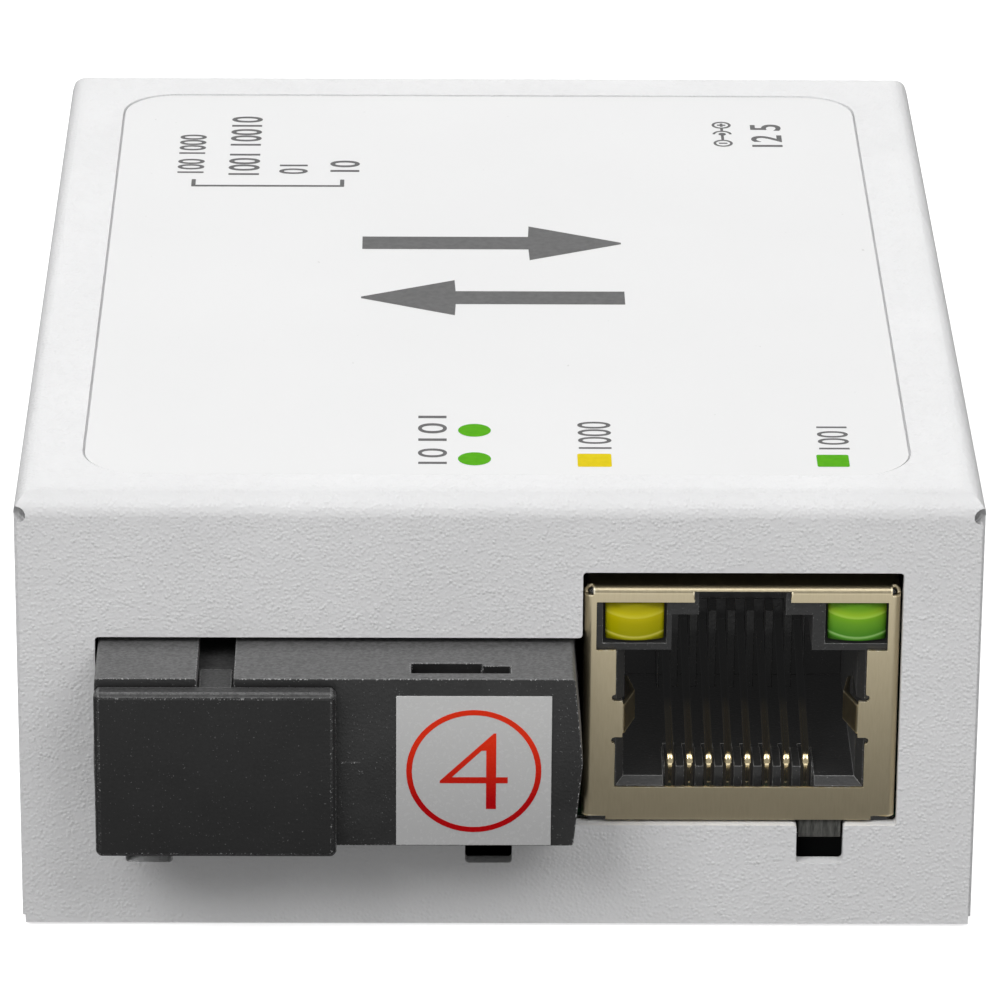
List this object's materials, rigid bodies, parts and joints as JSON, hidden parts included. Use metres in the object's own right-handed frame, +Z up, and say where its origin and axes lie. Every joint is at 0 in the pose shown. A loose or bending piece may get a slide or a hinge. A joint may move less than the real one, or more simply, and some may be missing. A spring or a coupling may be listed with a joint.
{
  "type": "fibre media converter",
  "caption": "Small folded-steel converter box with a network jack and a capped fibre port in front, a power inlet and setting switches behind.",
  "frame": {"origin": "centre of the case's underside, in the plane it rests on", "axes": "+X right and +Y to the rear as seen facing the ports, +Z up"},
  "size_m": [0.05, 0.0693, 0.0245],
  "materials": {
    "powder_coat": "fine matt powder coat",
    "galvanised": "bright galvanised sheet",
    "screw_steel": "nickel plated",
    "standoff_steel": "zinc plated",
    "label_film": "satin printed film",
    "clear_plastic": "clear moulded",
    "board_green": "solder resist",
    "black_plastic": "fine matt moulding",
    "clip_plastic": "moulded",
    "shield_metal": "satin nickel over brass, a warm grey",
    "gold": "gold plated",
    "yellow_lens": "translucent yellow",
    "green_lens": "translucent green",
    "tinned": "tin plated",
    "turned_steel": "turned stainless",
    "sticker_paper": "glossy printed",
    "switch_body": "moulded",
    "white_plastic": "moulded",
    "chip_mould": "epoxy moulding",
    "crystal_lid": "plated lid",
    "ferrite": "dark grey ferrite",
    "aluminium_can": "bright drawn can",
    "chip_part": "ceramic"
  },
  "bodies": {
    "case": {"top_cover": "powder_coat", "base_plate": "galvanised", "cover_screws": "screw_steel", "overlay_label": "label_film", "light_guide": "clear_plastic", "circuit_board": "board_green", "board_standoffs": "standoff_steel", "board_screws": "screw_steel", "rj45_housing": "black_plastic", "rj45_shield": "shield_metal", "rj45_contacts": "gold", "rj45_lamp_yellow": "yellow_lens", "rj45_lamp_green": "green_lens", "rj45_lamp_leads": "tinned", "transceiver_housing": "black_plastic", "transceiver_floor": "black_plastic", "transceiver_pins": "gold", "optical_barrel": "turned_steel", "sc_latch_clip": "clip_plastic", "port_sticker": "sticker_paper", "dip_body": "switch_body", "dip_pins": "tinned", "dc_jack_body": "black_plastic", "dc_jack_pin": "tinned", "dc_jack_spring": "tinned", "status_leds": "white_plastic", "converter_chip": "chip_mould", "memory_chip": "chip_mould", "network_transformer": "chip_mould", "voltage_regulator": "chip_mould", "crystal": "crystal_lid", "power_coil": "ferrite", "bulk_capacitors": "aluminium_can", "chip_leads": "tinned", "chip_parts": "chip_part"},
    "cap": {"dust_cap": "black_plastic"},
    "switch_1": {"dip_slider_1": "white_plastic"},
    "switch_2": {"dip_slider_2": "white_plastic"},
    "switch_3": {"dip_slider_3": "white_plastic"},
    "switch_4": {"dip_slider_4": "white_plastic"}
  },
  "joints": [
    {"name": "cap_pull", "type": "slide", "parent": "case", "child": "cap", "axis": [0, -1, 0], "range_m": [0, 0.015]},
    {"name": "switch_1_slide", "type": "slide", "parent": "case", "child": "switch_1", "axis": [0, 0, 1], "range_m": [0, 0.00194]},
    {"name": "switch_2_slide", "type": "slide", "parent": "case", "child": "switch_2", "axis": [0, 0, 1], "range_m": [0, 0.00194]},
    {"name": "switch_3_slide", "type": "slide", "parent": "case", "child": "switch_3", "axis": [0, 0, 1], "range_m": [0, 0.00194]},
    {"name": "switch_4_slide", "type": "slide", "parent": "case", "child": "switch_4", "axis": [0, 0, 1], "range_m": [0, 0.00194]}
  ]
}
